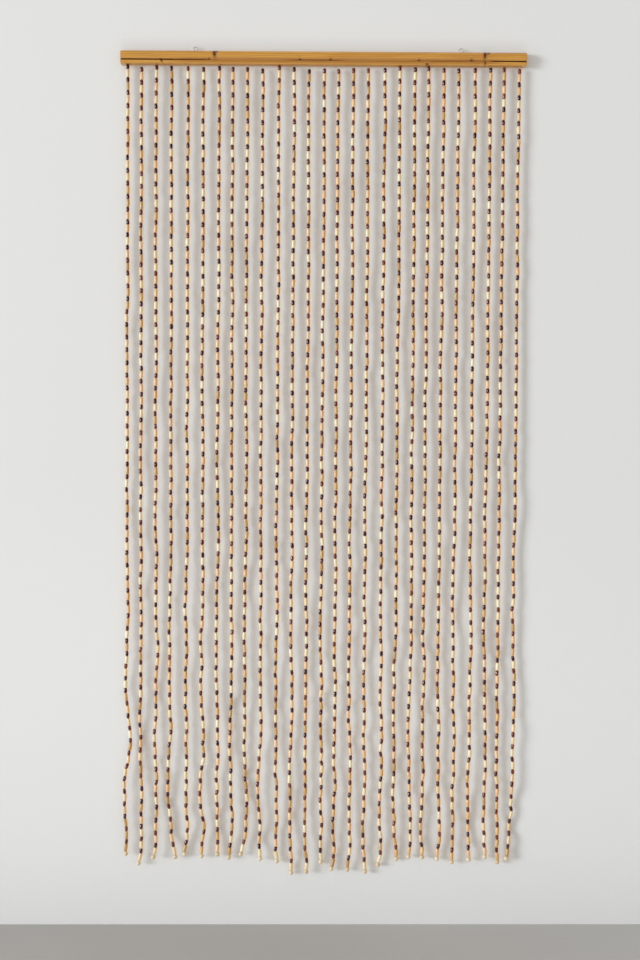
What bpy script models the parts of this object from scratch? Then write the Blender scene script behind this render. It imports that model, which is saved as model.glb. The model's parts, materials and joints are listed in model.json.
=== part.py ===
"""A bead curtain with rail: 27 threaded strands of beads hung from a moulded pine rail.

World frame, in metres: X runs along the rail, Y into the wall and Z up. The origin is the
centre of the rail's flat back face, which lies against the wall in the plane Y = 0.
"""

import math
from typing import NamedTuple

import bmesh
import bpy
from mathutils import Vector

MM = 0.001

# The rail: a length of moulding with a round upper band, a groove and a lower lip.
RAIL_LENGTH = 900 * MM
RAIL_HEIGHT = 30 * MM
RAIL_DEPTH = 22 * MM
UPPER_BAND_RADIUS = 11.5 * MM
UPPER_BAND_END_ANGLE = 222
LOWER_BAND_DEPTH = 20 * MM
LOWER_LIP_RADIUS = 5 * MM
GROOVE_DEPTH = 17.8 * MM
GROOVE_MIDDLE = -6.4 * MM
GROOVE_BOTTOM = -7.7 * MM
ARC_STEP = 11

# The heading lies in a channel cut in the rail's underside, and carries every strand.
CLEARANCE = 0.4 * MM
HEADING_SIZE = 3 * MM
HEADING_OVERHANG = 3 * MM
CHANNEL_WIDTH = HEADING_SIZE + 2 * CLEARANCE
CHANNEL_DEPTH = HEADING_SIZE + 2 * CLEARANCE

# The strands: brown beads and tube beads in turn on a thread, with a round bead at the end.
STRAND_PITCH = 33.45 * MM
STRAND_DEPTH = 11 * MM
BEAD_DIAMETER = 7.7 * MM
NECK_DIAMETER = 2.4 * MM
END_BEAD_DIAMETER = 10.4 * MM
END_BEAD_SHAPE = ((1.1, 0.77), (0.85, 0.92), (0.5, 1.0), (0.2, 0.86), (0.0, 0.5))
STRAIGHT_SECTIONS = 5
SWAY_STATIONS = (520, 400, 260, 150, 60, 0)
DEPTH_SWAY = 2 * MM
DEPTH_SWAY_WAVE = 310 * MM
DEPTH_SWAY_TURN = 1.9

# The screw eyes that the rail hangs by.
EYE_WIRE = 1.6 * MM
EYE_RADIUS = 4.3 * MM
EYE_ABOVE_RAIL = 0.5 * MM
EYE_DEPTH = 5 * MM
EYE_SHANK = 8 * MM
EYE_SEGMENTS = 14
EYE_OPEN_ANGLE = 40
SHANK_HOLE_DEPTH = EYE_SHANK + 1 * MM
EYES = {"hanger_left": -284 * MM, "hanger_right": 306 * MM}


class Strand(NamedTuple):
    """One strand, in millimetres.

    offset is sideways from its even place on the rail, bare is the thread that shows above
    the first bead, and reach is from the rail's underside to the tip. The at_ columns are
    the sideways sway at that height above the tip.
    """

    offset: float
    bare: float
    reach: float
    at_400: float
    at_260: float
    at_150: float
    at_60: float
    tip: float


STRANDS = [
    Strand(0.3, 0.5, 1775, -1, 5, -6, 0, -2),
    Strand(-2.6, 6.0, 1797, -1, -1, 4, 3, -3),
    Strand(-2.8, 1.5, 1782, 1, -1, 2, 0, -4),
    Strand(-2.4, 3.0, 1782, 1, 1, -4, 0, 8),
    Strand(0.8, 4.0, 1777, -3, 2, 1, 1, -6),
    Strand(1.6, 5.5, 1780, 0, 4, -3, 3, -1),
    Strand(2.9, 2.5, 1776, 0, 4, 0, 3, 3),
    Strand(0.0, 5.0, 1783, -1, 0, 1, 2, -1),
    Strand(-1.0, 5.0, 1775, 0, 0, 2, 3, -9),
    Strand(-0.9, 8.0, 1785, 1, 2, -2, 1, 2),
    Strand(2.3, 0.5, 1791, -1, -1, 3, 2, 3),
    Strand(2.1, 4.0, 1818, 1, -1, 0, 1, 1),
    Strand(2.2, 9.0, 1814, 0, 0, 0, 1, 3),
    Strand(2.5, 7.0, 1793, 1, 0, -2, 2, 3),
    Strand(-0.2, 8.0, 1808, 1, 0, 0, 4, -4),
    Strand(0.1, 5.5, 1809, 0, 2, 1, 1, -3),
    Strand(-0.3, 6.0, 1814, 1, 1, 2, 0, 4),
    Strand(2.9, 5.0, 1798, 1, 1, 1, 3, -2),
    Strand(2.9, 0.5, 1785, -2, -1, -1, 0, 9),
    Strand(3.1, 3.0, 1778, -1, -2, 1, 2, 3),
    Strand(-0.3, 0.5, 1779, 1, 1, 0, -1, 3),
    Strand(-0.1, 4.0, 1783, 0, 0, 0, 4, 2),
    Strand(-0.4, 5.0, 1790, 1, 2, 0, 3, 2),
    Strand(2.8, 3.5, 1784, 1, 1, 0, 2, 3),
    Strand(3.0, 3.0, 1778, 2, 2, 1, 0, 6),
    Strand(-0.4, 2.5, 1789, 0, 1, 1, 3, 4),
    Strand(0.3, 5.0, 1781, 3, 3, 1, -2, -8),
]

PARTS = bpy.data.collections.new("bead_curtain")
CUTTERS = bpy.data.collections.new("cutters")


def clear_scene():
    """Removes the objects that the file opened with and adds the two collections."""
    for old in list(bpy.data.objects):
        bpy.data.objects.remove(old, do_unlink=True)
    bpy.context.scene.collection.children.link(PARTS)
    bpy.context.scene.collection.children.link(CUTTERS)


def material(name, colour, roughness, metallic=0.0):
    made = bpy.data.materials.new(name)
    made.use_nodes = True
    made.diffuse_color = (*colour, 1.0)
    shader = made.node_tree.nodes["Principled BSDF"]
    shader.inputs["Base Color"].default_value = (*colour, 1.0)
    shader.inputs["Roughness"].default_value = roughness
    shader.inputs["Metallic"].default_value = metallic
    return made


def new_curve(name, dimensions):
    curve = bpy.data.curves.new(name, "CURVE")
    curve.dimensions = dimensions
    curve.resolution_u = 1
    return curve


def add_poly_spline(curve, points, radii=None, closed=False):
    """Adds a spline of straight runs, with a radius factor at each point."""
    spline = curve.splines.new("POLY")
    spline.points.add(len(points) - 1)
    for index, (point, place) in enumerate(zip(spline.points, points)):
        point.co = (*Vector(place).to_3d(), 1.0)
        point.radius = radii[index] if radii else 1.0
    spline.use_cyclic_u = closed


def mesh_from_curve(curve):
    """Turns a curve into an object with a closed mesh, whose caps are welded to its sides."""
    source = bpy.data.objects.new(curve.name + "_curve", curve)
    PARTS.objects.link(source)
    graph = bpy.context.evaluated_depsgraph_get()
    mesh = bpy.data.meshes.new_from_object(source.evaluated_get(graph))
    bpy.data.objects.remove(source, do_unlink=True)
    welded = bmesh.new()
    welded.from_mesh(mesh)
    bmesh.ops.remove_doubles(welded, verts=welded.verts, dist=0.01 * MM)
    bmesh.ops.recalc_face_normals(welded, faces=welded.faces)
    welded.to_mesh(mesh)
    welded.free()
    mesh.name = curve.name
    return bpy.data.objects.new(curve.name, mesh)


def add_part(part, finish, smooth_under=40):
    """Puts an object among the parts, with its finish and its round faces shaded smooth."""
    part.data.materials.clear()
    part.data.materials.append(finish)
    part.data.shade_smooth()
    part.data.set_sharp_from_angle(angle=math.radians(smooth_under))
    PARTS.objects.link(part)
    return part


def add_box(name, size, centre, collection):
    cube = bmesh.new()
    bmesh.ops.create_cube(cube, size=1.0)
    bmesh.ops.scale(cube, vec=size, verts=cube.verts)
    return finish_primitive(name, cube, centre, collection)


def add_cylinder(name, diameter, height, centre, collection):
    cylinder = bmesh.new()
    bmesh.ops.create_cone(
        cylinder,
        cap_ends=True,
        segments=12,
        radius1=diameter / 2,
        radius2=diameter / 2,
        depth=height,
    )
    return finish_primitive(name, cylinder, centre, collection)


def finish_primitive(name, shape, centre, collection):
    mesh = bpy.data.meshes.new(name)
    shape.to_mesh(mesh)
    shape.free()
    made = bpy.data.objects.new(name, mesh)
    made.location = centre
    if collection:
        collection.objects.link(made)
    return made


def as_cutter(cutter):
    cutter.hide_render = True
    cutter.display_type = "WIRE"
    return cutter


def add_boolean(part, other, operation):
    boolean = part.modifiers.new(other.name, "BOOLEAN")
    boolean.operation = operation
    boolean.object = other


def arc(centre, radius, start, end):
    """Points of an arc in the rail's section, with its angles in degrees."""
    steps = max(1, round(abs(end - start) / ARC_STEP))
    turns = [math.radians(start + (end - start) * i / steps) for i in range(steps + 1)]
    return [
        (centre[0] + radius * math.cos(turn), centre[1] + radius * math.sin(turn))
        for turn in turns
    ]


def rail_section():
    """The moulding's outline as (Y, Z): flat at the back, bottom and top, shaped in front."""
    top, bottom = RAIL_HEIGHT / 2, -RAIL_HEIGHT / 2
    upper_centre = (UPPER_BAND_RADIUS - RAIL_DEPTH, top - UPPER_BAND_RADIUS)
    lip_centre = (LOWER_LIP_RADIUS - LOWER_BAND_DEPTH, bottom + LOWER_LIP_RADIUS)
    back = [(0, bottom), (0, top)]
    upper_band = arc(upper_centre, UPPER_BAND_RADIUS, 90, UPPER_BAND_END_ANGLE)
    groove = [(-GROOVE_DEPTH, GROOVE_MIDDLE), (-LOWER_BAND_DEPTH, GROOVE_BOTTOM)]
    lower_lip = arc(lip_centre, LOWER_LIP_RADIUS, 180, 270)
    return back + upper_band + groove + lower_lip


def build_rail(pine):
    """The moulding, with the heading's channel below and a hole for each screw eye above."""
    outline = new_curve("rail", "2D")
    outline.fill_mode = "BOTH"
    outline.extrude = RAIL_LENGTH / 2
    add_poly_spline(outline, rail_section(), closed=True)
    rail = mesh_from_curve(outline)
    rail.rotation_euler = (math.radians(90), 0, math.radians(90))
    add_part(rail, pine, smooth_under=30)

    channel_length = heading_length() + 2 * HEADING_OVERHANG
    underside = -RAIL_HEIGHT / 2
    channel = add_box(
        "channel_cutter",
        (channel_length, CHANNEL_WIDTH, 2 * CHANNEL_DEPTH),
        (0, -STRAND_DEPTH, underside),
        CUTTERS,
    )
    add_boolean(rail, as_cutter(channel), "DIFFERENCE")
    for name, place in EYES.items():
        hole = add_cylinder(
            name + "_hole_cutter",
            EYE_WIRE + 2 * CLEARANCE,
            2 * SHANK_HOLE_DEPTH,
            (place, -EYE_DEPTH, RAIL_HEIGHT / 2),
            CUTTERS,
        )
        add_boolean(rail, as_cutter(hole), "DIFFERENCE")


def heading_length():
    return (len(STRANDS) - 1) * STRAND_PITCH + 2 * HEADING_OVERHANG


def smooth_between(low, high, share):
    """A value that leaves low and meets high with no slope at either end."""
    return low + (high - low) * (3 - 2 * share) * share * share


def sideways_sway(strand, above_tip):
    """How far a strand stands to the side at a height above its tip, in metres."""
    sways = (0, strand.at_400, strand.at_260, strand.at_150, strand.at_60, strand.tip)
    height = above_tip / MM
    for upper, lower, high, low in zip(SWAY_STATIONS, SWAY_STATIONS[1:], sways, sways[1:]):
        if lower <= height <= upper:
            share = (height - lower) / (upper - lower)
            return smooth_between(low, high, share) * MM
    return 0.0


def depth_sway(index, above_tip):
    """How far a strand stands towards the wall at a height above its tip, in metres."""
    fade = max(0.0, 1 - above_tip / (SWAY_STATIONS[0] * MM))
    turn = 2 * math.pi * above_tip / DEPTH_SWAY_WAVE + DEPTH_SWAY_TURN * index
    return DEPTH_SWAY * fade * math.sin(turn)


def strand_x(index):
    even = (index - (len(STRANDS) - 1) / 2) * STRAND_PITCH
    return even + STRANDS[index].offset * MM


def strand_point(index, above_tip):
    """The strand's centreline at a height above its tip."""
    strand = STRANDS[index]
    return (
        strand_x(index) + sideways_sway(strand, above_tip),
        -STRAND_DEPTH + depth_sway(index, above_tip),
        above_tip - RAIL_HEIGHT / 2 - strand.reach * MM,
    )


def strand_heights(strand):
    """Heights above the tip of the tube's sections over the end bead, from the top down."""
    beads_top = (strand.reach - strand.bare) * MM
    stations = [station * MM for station in SWAY_STATIONS[:-1]]
    run = (beads_top - stations[0]) / STRAIGHT_SECTIONS
    straight = [beads_top - run * i for i in range(STRAIGHT_SECTIONS)]
    halfway = [(high + low) / 2 for high, low in zip(stations, stations[1:])]
    bends = sorted(stations + halfway, reverse=True)
    return [*straight, *bends, stations[-1] / 2]


def add_strand_spline(curve, index):
    """A narrow neck of thread up to the heading, the beads' outer form, and the end bead."""
    strand = STRANDS[index]
    into_heading = strand.reach * MM + CLEARANCE + HEADING_SIZE / 2
    heights = strand_heights(strand)
    neck = NECK_DIAMETER / BEAD_DIAMETER
    sections = [(into_heading, neck), (heights[0] + 0.1 * MM, neck)]
    sections += [(height, 1.0) for height in heights]
    for share, width in END_BEAD_SHAPE:
        end_width = width * END_BEAD_DIAMETER / BEAD_DIAMETER
        sections.append((share * END_BEAD_DIAMETER, end_width))
    points = [strand_point(index, height) for height, _ in sections]
    add_poly_spline(curve, points, [width for _, width in sections])


def build_strands(beads):
    """One comb: the heading in its channel, and the 27 strands that hang from it."""
    curve = new_curve("strands", "3D")
    curve.bevel_depth = BEAD_DIAMETER / 2
    curve.bevel_resolution = 2
    curve.use_fill_caps = True
    for index in range(len(STRANDS)):
        add_strand_spline(curve, index)
    teeth = mesh_from_curve(curve)
    teeth.name = "teeth_cutter"
    CUTTERS.objects.link(as_cutter(teeth))

    heading_middle = CLEARANCE + HEADING_SIZE / 2 - RAIL_HEIGHT / 2
    comb = add_box(
        "strands",
        (heading_length(), HEADING_SIZE, HEADING_SIZE),
        (0, -STRAND_DEPTH, heading_middle),
        None,
    )
    add_part(comb, beads)
    add_boolean(comb, teeth, "UNION")


def build_screw_eye(name, place, steel):
    """A wire bent into a ring over its shank, which stands in the rail's top edge."""
    ring_middle = RAIL_HEIGHT / 2 + EYE_ABOVE_RAIL + EYE_WIRE / 2 + EYE_RADIUS
    start, end = -90, 270 - EYE_OPEN_ANGLE
    turns = [
        math.radians(start + (end - start) * i / EYE_SEGMENTS)
        for i in range(EYE_SEGMENTS + 1)
    ]
    ring = [
        (EYE_RADIUS * math.cos(turn), 0, EYE_RADIUS * math.sin(turn) + ring_middle)
        for turn in turns
    ]
    shank_end = (0, 0, RAIL_HEIGHT / 2 - EYE_SHANK)
    wire = new_curve(name, "3D")
    wire.bevel_depth = EYE_WIRE / 2
    wire.bevel_resolution = 2
    wire.use_fill_caps = True
    add_poly_spline(wire, [shank_end, *ring])
    eye = mesh_from_curve(wire)
    eye.location = (place, -EYE_DEPTH, 0)
    add_part(eye, steel)


def main():
    clear_scene()
    build_rail(material("varnished_pine", (0.56, 0.29, 0.06), 0.35))
    build_strands(material("strung_beads", (0.42, 0.25, 0.12), 0.4))
    steel = material("zinc_steel", (0.55, 0.55, 0.56), 0.35, metallic=1.0)
    for name, place in EYES.items():
        build_screw_eye(name, place, steel)


main()
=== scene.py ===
"""The looks of a bead curtain with rail: wooden beads on cotton threads under a pine moulding.

World frame, in metres: X runs along the rail, Y into the wall and Z up. The origin is the
centre of the rail's flat back face.
"""

import json
import logging
import math
from dataclasses import dataclass, field
from enum import Enum
from typing import NamedTuple

import bmesh
import bpy
import numpy as np
from mathutils import Matrix, Vector

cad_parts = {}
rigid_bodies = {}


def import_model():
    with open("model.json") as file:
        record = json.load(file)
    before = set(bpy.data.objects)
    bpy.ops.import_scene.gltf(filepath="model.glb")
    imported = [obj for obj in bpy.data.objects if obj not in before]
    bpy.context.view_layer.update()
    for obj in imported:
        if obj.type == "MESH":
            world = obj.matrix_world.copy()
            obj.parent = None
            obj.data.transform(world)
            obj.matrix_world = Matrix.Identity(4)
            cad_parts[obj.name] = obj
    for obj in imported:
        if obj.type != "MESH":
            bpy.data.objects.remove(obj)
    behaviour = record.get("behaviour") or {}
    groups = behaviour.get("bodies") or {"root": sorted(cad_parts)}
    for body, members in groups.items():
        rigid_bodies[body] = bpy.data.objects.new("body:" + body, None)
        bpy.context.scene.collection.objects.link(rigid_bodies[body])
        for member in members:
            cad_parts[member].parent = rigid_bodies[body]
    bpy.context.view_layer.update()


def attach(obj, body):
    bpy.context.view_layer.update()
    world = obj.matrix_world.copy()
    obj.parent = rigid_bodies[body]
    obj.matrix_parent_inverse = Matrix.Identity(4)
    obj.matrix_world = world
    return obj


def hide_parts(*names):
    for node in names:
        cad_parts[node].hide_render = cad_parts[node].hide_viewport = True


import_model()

LOG = logging.getLogger("bead_curtain")
MM = 0.001
BODY = "root"

Socket = bpy.types.NodeSocket
Colour = tuple[float, float, float]
Triple = tuple[float, float, float]
Pair = tuple[float, float]
Outline = tuple[Pair, ...]
Stops = tuple[tuple[float, Colour], ...]


class Slot(Enum):
    """The record's material slots."""

    PINE = "pine"
    BEADS = "beads"
    THREAD = "thread"
    STEEL = "steel"


class Node(Enum):
    """The CAD nodes that the pieces stand for."""

    RAIL = "rail"
    STRANDS = "strands"
    HANGER_LEFT = "hanger_left"
    HANGER_RIGHT = "hanger_right"


EYE_PLACES = {Node.HANGER_LEFT: -284 * MM, Node.HANGER_RIGHT: 306 * MM}


class Tag(Enum):
    """Values that a mesh carries at each of its points, for its finish to read."""

    GRAIN = "bead_grain"
    TONE = "bead_tone"
    RIM = "bead_rim"
    # how much painted shade the rail's groove takes
    GROOVE = "groove_shade"


# --------------------------------------------------------------------------- finishes


class NodeSheet:
    """A new material with its Principled shader, and short calls that add its other nodes."""

    coarseness: float = 0.55

    def __init__(self, name: str) -> None:
        """Starts the sheet with the shader alone.

        Args:
            name: the material's name.
        """
        self.material = bpy.data.materials.new(name)
        self.material.use_nodes = True
        self.tree = self.material.node_tree
        self.shader = self.tree.nodes["Principled BSDF"]

    def feed(self, socket: Socket, value: object) -> None:
        """Links a socket to another, or sets its own value.

        Args:
            socket: the input to feed.
            value: another node's output, a number, or a tuple for a colour or vector.
        """
        if isinstance(value, Socket):
            self.tree.links.new(value, socket)
        else:
            socket.default_value = value

    def node(
        self, kind: str, inputs: dict[str | int, object], **settings: object
    ) -> bpy.types.Node:
        """Adds one node.

        Args:
            kind: the node's type, without its ShaderNode prefix.
            inputs: what feeds each input, by its name or number.
            **settings: the node's own properties.

        Returns:
            The new node.
        """
        made = self.tree.nodes.new("ShaderNode" + kind)
        for name, value in settings.items():
            setattr(made, name, value)
        for key, value in inputs.items():
            self.feed(made.inputs[key], value)
        return made

    def tag(self, tag: Tag, output: str = "Fac") -> Socket:
        """Returns the value or vector that the mesh carries under a tag."""
        return self.node("Attribute", {}, attribute_name=tag.value).outputs[output]

    def place(self) -> Socket:
        """Returns the point on the object, in metres."""
        return self.node("TexCoord", {}).outputs["Object"]

    def stretch(self, vector: Socket, scale: Triple) -> Socket:
        """Returns a vector scaled along each axis."""
        return self.node("VectorMath", {0: vector, 1: scale}, operation="MULTIPLY").outputs[0]

    def noise(self, vector: Socket, scale: float, detail: float = 2.0) -> Socket:
        """Returns a soft noise from 0 to 1, even about one half."""
        inputs = {"Vector": vector, "Scale": scale, "Detail": detail, "Roughness": self.coarseness}
        return self.node("TexNoise", inputs).outputs["Fac"]

    def sum(self, kind: str, first: object, second: object) -> Socket:
        """Returns the result of a sum on two numbers.

        Args:
            kind: the operation, such as ADD, MULTIPLY or MINIMUM.
            first: a socket or number.
            second: a socket or number.

        Returns:
            The result.
        """
        return self.node("Math", {0: first, 1: second}, operation=kind).outputs[0]

    def span(self, value: Socket, low: float, high: float, start: float, end: float) -> Socket:
        """Returns a value moved smoothly from the span low to high to the span start to end."""
        inputs = {0: value, 1: low, 2: high, 3: start, 4: end}
        return self.node("MapRange", inputs, interpolation_type="SMOOTHSTEP").outputs[0]

    def vary(self, value: Socket, part: Socket, spread: Pair, depth: float) -> Socket:
        """Returns a value shifted up or down by a noise.

        Args:
            value: the value.
            part: the noise, from 0 to 1.
            spread: the noise's low and high that count as its ends.
            depth: how far the value shifts at either end.

        Returns:
            The shifted value.
        """
        return self.sum("ADD", value, self.span(part, *spread, -depth, depth))

    def cover(
        self, below: object, above: Colour, value: Socket, edge: Pair, share: float
    ) -> Socket:
        """Returns a colour that another covers as a value rises across an edge.

        Args:
            below: the colour below.
            above: the colour above.
            value: what the edge is measured on.
            edge: where the cover starts and where it is full.
            share: how much of it shows where it is full.

        Returns:
            The colour.
        """
        return self.mix(self.span(value, *edge, 0.0, share), below, above)

    def ramp(self, value: Socket, stops: Stops) -> Socket:
        """Picks a colour from a row of stops.

        Args:
            value: where along the row, from 0 to 1.
            stops: each stop's place and colour, in order.

        Returns:
            The colour.
        """
        made = self.node("ValToRGB", {0: value})
        elements = made.color_ramp.elements
        while len(elements) < len(stops):
            elements.new(1.0)
        for element, (place, colour) in zip(elements, stops):
            element.position = place
            element.color = (*colour, 1.0)
        return made.outputs["Color"]

    def mix(self, share: object, first: object, second: object, blend: str = "MIX") -> Socket:
        """Blends one colour over another.

        Args:
            share: how much of the second shows, from 0 to 1.
            first: the colour below, as a socket or a colour.
            second: the colour above.
            blend: the blend mode.

        Returns:
            The blended colour.
        """
        below, above = (c if isinstance(c, Socket) else (*c, 1.0) for c in (first, second))
        inputs = {0: share, 6: below, 7: above}
        return self.node("Mix", inputs, data_type="RGBA", blend_type=blend).outputs[2]

    def bump(self, height: Socket, distance: float, below: Socket | None = None) -> Socket:
        """Roughens the surface by a height.

        Args:
            height: from 0 to 1.
            distance: how deep the full height is, in metres.
            below: another bump that this one adds to.

        Returns:
            The roughened surface's direction.
        """
        inputs = {"Height": height, "Distance": distance, "Strength": 1.0}
        if below is not None:
            inputs["Normal"] = below
        return self.node("Bump", inputs).outputs[0]

    def finish(self, **inputs: object) -> bpy.types.Material:
        """Feeds the shader's inputs and hands the material over.

        Args:
            **inputs: each shader input by its name, with underscores for spaces.

        Returns:
            The finished material.
        """
        for name, value in inputs.items():
            key = name.replace("_", " ")
            if isinstance(value, tuple) and len(value) == 3:
                value = (*value, 1.0)
            self.feed(self.shader.inputs[key], value)
        return self.material


@dataclass(frozen=True)
class BrownLacquer:
    """Dark red-brown lacquer over a turned wooden bead, thin at the rims."""

    stops: Stops = (
        (0.0, (0.068, 0.007, 0.002)),
        (0.35, (0.122, 0.016, 0.004)),
        (0.75, (0.190, 0.033, 0.007)),
        (1.0, (0.27, 0.075, 0.020)),
    )
    rim: Colour = (0.24, 0.065, 0.022)
    bore: Colour = (0.34, 0.22, 0.12)
    streak_size: Triple = (1.6, 1.6, 0.22)
    streak_depth: float = 0.12
    cloud_size: float = 0.35
    cloud_depth: float = 0.15
    rim_fray: float = 0.05
    rim_edge: Pair = (0.84, 1.0)
    rim_share: float = 0.75
    bore_edge: Pair = (1.08, 1.2)
    gloss: Pair = (0.16, 0.30)
    relief: float = 0.06 * MM
    coat: float = 0.85
    coat_roughness: float = 0.1

    def material(self) -> bpy.types.Material:
        """Mixes the lacquer.

        Returns:
            The lacquer's material.
        """
        sheet = NodeSheet("brown_lacquer")
        grain = sheet.tag(Tag.GRAIN, "Vector")
        streaks = sheet.noise(sheet.stretch(grain, self.streak_size), 1.0, 3.0)
        cloudy = sheet.noise(grain, self.cloud_size)
        tone = sheet.vary(sheet.tag(Tag.TONE), cloudy, (0.2, 0.8), self.cloud_depth)
        tone = sheet.vary(tone, streaks, (0.3, 0.7), self.streak_depth)
        colour = sheet.ramp(tone, self.stops)
        edge = sheet.vary(sheet.tag(Tag.RIM), streaks, (0.2, 0.8), self.rim_fray)
        colour = sheet.cover(colour, self.rim, edge, self.rim_edge, self.rim_share)
        colour = sheet.cover(colour, self.bore, edge, self.bore_edge, 1.0)
        return sheet.finish(
            Base_Color=colour,
            Roughness=sheet.span(cloudy, 0.35, 0.75, *self.gloss),
            Normal=sheet.bump(streaks, self.relief),
            Coat_Weight=self.coat,
            Coat_Roughness=self.coat_roughness,
        )


@dataclass(frozen=True)
class TubeWood:
    """Half-gloss tubes of pale wood, each its own shade from cream to tan."""

    stops: Stops = (
        (0.0, (0.97, 0.82, 0.54)),
        (0.25, (0.92, 0.66, 0.33)),
        (0.42, (0.92, 0.58, 0.32)),
        (0.58, (0.84, 0.48, 0.19)),
        (0.78, (0.68, 0.40, 0.13)),
        (1.0, (0.52, 0.27, 0.08)),
    )
    streak: Colour = (0.30, 0.17, 0.07)
    rim: Colour = (0.34, 0.20, 0.10)
    fibre_size: Triple = (2.4, 2.4, 0.12)
    fibre_edge: Pair = (0.50, 0.78)
    fibre_share: float = 0.42
    band_size: Triple = (0.55, 0.55, 0.05)
    band_depth: float = 0.14
    fleck_size: Triple = (3.2, 3.2, 0.9)
    fleck_edge: Pair = (0.68, 0.76)
    fleck_share: float = 0.45
    rim_fray: float = 0.04
    rim_edge: Pair = (0.93, 1.02)
    rim_share: float = 0.55
    gloss: Pair = (0.30, 0.46)
    relief: float = 0.10 * MM
    coat: float = 0.4
    coat_roughness: float = 0.2

    def material(self) -> bpy.types.Material:
        """Mixes the tubes' wood.

        Returns:
            The tubes' material.
        """
        sheet = NodeSheet("tube_wood")
        grain = sheet.tag(Tag.GRAIN, "Vector")
        fibres = sheet.noise(sheet.stretch(grain, self.fibre_size), 1.0, 4.0)
        bands = sheet.noise(sheet.stretch(grain, self.band_size), 1.0)
        flecks = sheet.noise(sheet.stretch(grain, self.fleck_size), 1.0, 1.0)
        tone = sheet.vary(sheet.tag(Tag.TONE), bands, (0.25, 0.75), self.band_depth)
        colour = sheet.ramp(tone, self.stops)
        colour = sheet.cover(colour, self.streak, fibres, self.fibre_edge, self.fibre_share)
        colour = sheet.cover(colour, self.streak, flecks, self.fleck_edge, self.fleck_share)
        edge = sheet.vary(sheet.tag(Tag.RIM), fibres, (0.2, 0.8), self.rim_fray)
        colour = sheet.cover(colour, self.rim, edge, self.rim_edge, self.rim_share)
        return sheet.finish(
            Base_Color=colour,
            Roughness=sheet.span(fibres, 0.3, 0.7, *self.gloss),
            Normal=sheet.bump(fibres, self.relief),
            Coat_Weight=self.coat,
            Coat_Roughness=self.coat_roughness,
        )


@dataclass(frozen=True)
class EndBeadWood:
    """Plain cream wood of the round beads that close the strands, with painted shade inside the
    bore.
    """

    stops: Stops = (
        (0.0, (0.84, 0.70, 0.49)),
        (0.6, (0.75, 0.59, 0.37)),
        (1.0, (0.58, 0.42, 0.24)),
    )
    pore: Colour = (0.40, 0.26, 0.13)
    fibre_size: Triple = (1.5, 1.5, 0.30)
    fibre_depth: float = 0.3
    pore_size: Triple = (4.0, 4.0, 1.6)
    pore_edge: Pair = (0.62, 0.74)
    pore_share: float = 0.5
    bore_edge: Pair = (1.05, 1.2)
    bore_shade_share: float = 0.9
    gloss: Pair = (0.42, 0.58)
    relief: float = 0.12 * MM

    def material(self) -> bpy.types.Material:
        """Mixes the end beads' wood.

        Returns:
            The end beads' material.
        """
        sheet = NodeSheet("end_bead_wood")
        grain = sheet.tag(Tag.GRAIN, "Vector")
        fibres = sheet.noise(sheet.stretch(grain, self.fibre_size), 1.0, 4.0)
        tone = sheet.vary(sheet.tag(Tag.TONE), fibres, (0.2, 0.8), self.fibre_depth)
        colour = sheet.ramp(tone, self.stops)
        pores = sheet.noise(sheet.stretch(grain, self.pore_size), 1.0, 1.0)
        colour = sheet.cover(colour, self.pore, pores, self.pore_edge, self.pore_share)
        rim = sheet.tag(Tag.RIM)
        # Painted shade: the inside of the bore is darkened with the pores' colour.
        colour = sheet.cover(colour, self.pore, rim, self.bore_edge, self.bore_shade_share)
        return sheet.finish(
            Base_Color=colour,
            Roughness=sheet.span(pores, 0.3, 0.7, *self.gloss),
            Normal=sheet.bump(fibres, self.relief),
        )


@dataclass(frozen=True)
class CottonThread:
    """Cream cotton twine: plies that wind round the line of the thread, with painted shade in the
    creases between them.
    """

    light: Colour = (0.80, 0.71, 0.55)
    dark: Colour = (0.50, 0.40, 0.27)
    ply: float = 0.9 * MM
    twist_turns: float = 0.3
    twist_waver: float = 1.5
    fuzz_size: float = 2.2 / MM
    matt: Pair = (0.75, 0.95)
    relief: float = 0.2 * MM
    sheen: float = 0.25

    def material(self) -> bpy.types.Material:
        """Mixes the twine.

        Returns:
            The twine's material.
        """
        sheet = NodeSheet("cotton_thread")
        place = sheet.place()
        twist = sheet.node(
            "TexWave",
            {
                "Vector": place,
                "Scale": self.twist_turns / self.ply,
                "Distortion": self.twist_waver,
                "Detail": 2.0,
            },
            bands_direction="DIAGONAL",
        ).outputs["Fac"]
        fuzz = sheet.noise(place, self.fuzz_size)
        depth = sheet.sum("MULTIPLY", twist, sheet.span(fuzz, 0.2, 0.8, 0.6, 1.0))
        # Painted shade: the creases between the plies, where the bump is low, take the dark
        # colour.
        colour = sheet.mix(depth, self.dark, self.light)
        return sheet.finish(
            Base_Color=colour,
            Roughness=sheet.span(fuzz, 0.2, 0.8, *self.matt),
            Normal=sheet.bump(depth, self.relief),
            Sheen_Weight=self.sheen,
        )


@dataclass(frozen=True)
class ZincSteel:
    """Zinc-plated wire, dull grey with faint drawing marks."""

    light: Colour = (0.82, 0.83, 0.85)
    dark: Colour = (0.60, 0.60, 0.62)
    cloud_size: float = 500.0
    mark_size: Triple = (900.0, 4000.0, 900.0)
    gloss: Pair = (0.28, 0.5)
    relief: float = 0.02 * MM

    def material(self) -> bpy.types.Material:
        """Mixes the plating.

        Returns:
            The plated wire's material.
        """
        sheet = NodeSheet("zinc_steel")
        place = sheet.place()
        cloudy = sheet.noise(place, self.cloud_size, 3.0)
        marks = sheet.noise(sheet.stretch(place, self.mark_size), 1.0)
        colour = sheet.mix(sheet.span(cloudy, 0.3, 0.7, 0.0, 1.0), self.dark, self.light)
        return sheet.finish(
            Base_Color=colour,
            Roughness=sheet.span(cloudy, 0.25, 0.75, *self.gloss),
            Normal=sheet.bump(marks, self.relief),
            Metallic=1.0,
        )


class Knot(NamedTuple):
    """A knot on the rail's front, in millimetres: its middle, half sizes and lean in degrees."""

    x: float
    z: float
    half_width: float
    half_height: float
    lean: float


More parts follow.
